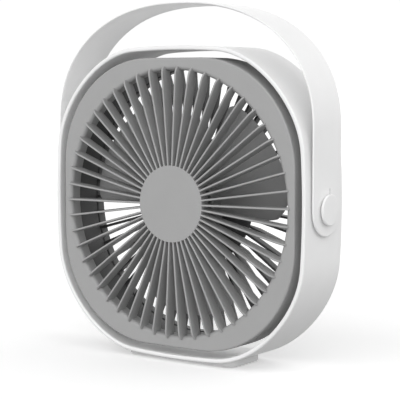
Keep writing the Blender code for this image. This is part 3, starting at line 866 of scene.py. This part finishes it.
def strap_section(edge=0.62, steps=5):
    """(inset from the strap's edge, offset from its middle), round its rim from outside to inside.

    The inner side is set back, which leaves a thin line of shadow along the edge.
    """
    half = STRAP_T / 2
    section = []
    for k in range(steps + 1):
        a = math.pi / 2 * k / steps
        section.append((edge * (1 - math.sin(a)), half - edge + edge * math.cos(a)))
    return section + [(0.1, -0.1), (1.9, -half)]


def build_strap(bm):
    """Loops parallel to the strap's edge, wrapped along its line: straight runs and half-round ends."""
    line = strap_line()
    normals = []
    for i, point in enumerate(line):
        ahead = line[min(i + 1, len(line) - 1)] - line[max(i - 1, 0)]
        normals.append(Vector((ahead.y, -ahead.x)).normalized())
    end = STRAP_W / 2
    round_steps = 24
    section = strap_section()

    def place(point, normal, offset, y):
        spot_in = point + normal * offset
        return bm.verts.new((spot_in.x, y, spot_in.y))

    def loop(inset, offset):
        """One closed loop, from the right end's front corner round to the same place."""
        reach = end - inset
        verts = [place(p, n, offset, -reach) for p, n in zip(line, normals)]
        for k in range(1, round_steps):
            a = math.pi * k / round_steps
            low = line[-1] - Vector((0, reach * math.sin(a)))
            verts.append(place(low, normals[-1], offset, -reach * math.cos(a)))
        verts += [place(p, n, offset, reach) for p, n in zip(line[::-1], normals[::-1])]
        for k in range(1, round_steps):
            a = math.pi * k / round_steps
            low = line[0] - Vector((0, reach * math.sin(a)))
            verts.append(place(low, normals[0], offset, reach * math.cos(a)))
        return verts

    insets = [end * share for share in (0.85, 0.45)]
    outer = [(inset, section[0][1]) for inset in insets] + section
    inner = [(inset, section[-1][1]) for inset in insets[::-1]]
    rows = [loop(inset, offset) for inset, offset in outer + inner]
    for row, following in zip(rows, rows[1:]):
        bridge(bm, row, following)
    count = len(line)
    for row in (rows[0], rows[-1]):
        front = row[:count]
        back = row[count + round_steps - 1:2 * count + round_steps - 1][::-1]
        for i in range(count - 1):
            bm.faces.new((front[i], front[i + 1], back[i + 1], back[i]))
        bm.faces.new([front[-1]] + row[count:count + round_steps - 1] + [back[-1]])
        bm.faces.new([back[0]] + row[2 * count + round_steps - 1:] + [front[0]])


def build_mark(bm):
    """The index mark's groove, cut above the pivot cap."""
    bmesh.ops.create_cube(bm, size=1.0)
    bmesh.ops.transform(bm, matrix=Matrix.Diagonal((1.8, 0.8, 2.8, 1)), verts=bm.verts)


strap_cuts = [rod(STRAP_HOLE_R, -CUT_REACH, CUT_REACH)]
for side in (-1, 1):
    strap_cuts.append(at(shape("mark", build_mark), side * STRAP_HALF, 2.3, AXIS_Z + KNOB_R + 1.2))
strap = boolean(shape("carry_strap", build_strap), strap_cuts)
dress(strap, WHITE, "handle", ["handle_strap"])


# ---------------------------------------------------------------- pieces inside the head

# These keep the frame's own shapes and only take a material.
INNER = {
    STEEL: ("rotor_can", "rotor_shaft", "shaft_clip"),
    BRONZE: ("bearing_front", "bearing_rear"),
    BOARD: ("motor_board", "control_board"),
    MAGNET: ("magnet_ring",),
    COPPER: ("motor_stator",),
    DARK: ("button_switch",),
    WIRE: ("motor_lead",),
}
for mat, names in INNER.items():
    for name in names:
        frame["nodes"][name].material_slots[0].material = mat


# ---------------------------------------------------------------- studio and camera

# The floor takes the fan's shadow but lights nothing: the bounce lamp shines up through it.
bpy.ops.mesh.primitive_plane_add(size=60.0, location=(0, 0, 0))
floor = bpy.context.object
floor.name = "studio_floor"
floor_mat = bpy.data.materials.new("studio_floor")
floor_mat.use_nodes = True
floor_shader = floor_mat.node_tree.nodes["Principled BSDF"]
floor_shader.inputs["Base Color"].default_value = (0.98, 0.98, 0.98, 1.0)
floor_shader.inputs["Emission Color"].default_value = (1.0, 1.0, 1.0, 1.0)
floor_shader.inputs["Emission Strength"].default_value = 0.24
floor_shader.inputs["Roughness"].default_value = 1.0
floor_shader.inputs["Specular IOR Level"].default_value = 0.0
floor.data.materials.append(floor_mat)
floor.visible_diffuse = False
floor.visible_glossy = False
floor.visible_shadow = False


def sun(name, towards, strength, softness):
    """A distant lamp; towards points from the fan to the lamp, softness is its width in degrees."""
    light = bpy.data.lights.new(name, "SUN")
    light.energy = strength
    light.angle = math.radians(softness)
    obj = bpy.data.objects.new(name, light)
    bpy.context.scene.collection.objects.link(obj)
    obj.rotation_euler = Vector(towards).to_track_quat("Z", "Y").to_euler()


# (name, direction from the fan to the lamp, strength, width in degrees)
LAMPS = (
    ("key", (0.6, 0.2, 0.77), 0.85, 80),
    ("right_wall", (0.93, -0.2, 0.2), 1.38, 110),
    ("left_wall", (-0.95, 0.1, 0.3), 0.7, 90),
    ("front_wall", (-0.1, -0.95, 0.25), 2.1, 100),
    ("back_wall", (-0.3, 0.95, 0.15), 0.75, 110),
    ("above", (0, 0, 1), 0.38, 180),
    ("bounce", (0.3, -0.3, -0.9), 0.35, 120),
)
for lamp in LAMPS:
    sun(*lamp)

# The backdrop by height, as (direction's Z, brightness). It shows behind the fan and in glossy
# faces; all diffuse light comes from the lamps.
WALLS = ((-0.15, 0.32), (-0.02, 1.03), (0.15, 1.03), (0.6, 0.78))
world = bpy.data.worlds.new("studio")
world.use_nodes = True
world_tree = world.node_tree
background = world_tree.nodes["Background"]
direction = world_tree.nodes.new("ShaderNodeTexCoord")
direction_split = world_tree.nodes.new("ShaderNodeSeparateXYZ")
world_tree.links.new(direction.outputs["Generated"], direction_split.inputs["Vector"])
height = world_tree.nodes.new("ShaderNodeMapRange")
height.inputs["From Min"].default_value = -1.0
height.inputs["From Max"].default_value = 1.0
world_tree.links.new(direction_split.outputs["Z"], height.inputs["Value"])
walls = world_tree.nodes.new("ShaderNodeValToRGB")
stops = walls.color_ramp.elements
while len(stops) < len(WALLS):
    stops.new(0.5)
for stop, (z, _) in zip(stops, WALLS):
    stop.position = z / 2 + 0.5
for stop, (_, brightness) in zip(stops, WALLS):
    stop.color = (brightness, brightness, brightness, 1.0)
world_tree.links.new(height.outputs["Result"], walls.inputs["Fac"])
world_tree.links.new(walls.outputs["Color"], background.inputs["Color"])
background.inputs["Strength"].default_value = 1.0
bpy.context.scene.world = world
world.cycles_visibility.diffuse = False

# The camera looks along YAW and PITCH (radians) from DISTANCE (metres). REFERENCE, the middle of
# the sleeve's front, lies off the picture's middle by REFERENCE_SHIFT, to the right and down, as
# a share of the picture's side.
YAW = 0.6234
PITCH = 0.0893
LENS_MM = 122.09
SENSOR_MM = 36.0
DISTANCE = 0.6895
VIEW_SIDE = DISTANCE * SENSOR_MM / LENS_MM
REFERENCE = Vector((0, FRONT_Y * MM, AXIS_Z * MM))
REFERENCE_SHIFT = (-0.067925, 0.0095)

forward = Vector((-math.sin(YAW) * math.cos(PITCH), math.cos(YAW) * math.cos(PITCH), -math.sin(PITCH)))
right = Vector((math.cos(YAW), math.sin(YAW), 0))
up = right.cross(forward)
place = REFERENCE - forward * DISTANCE
place += up * (REFERENCE_SHIFT[1] * VIEW_SIDE) - right * (REFERENCE_SHIFT[0] * VIEW_SIDE)
camera_data = bpy.data.cameras.new("camera")
camera_data.lens = LENS_MM
camera_data.sensor_width = SENSOR_MM
camera = bpy.data.objects.new("camera", camera_data)
bpy.context.scene.collection.objects.link(camera)
camera.matrix_world = Matrix((
    (right.x, up.x, -forward.x, place.x),
    (right.y, up.y, -forward.y, place.y),
    (right.z, up.z, -forward.z, place.z),
    (0, 0, 0, 1),
))
bpy.context.scene.camera = camera
bpy.context.scene.view_settings.view_transform = "Standard"
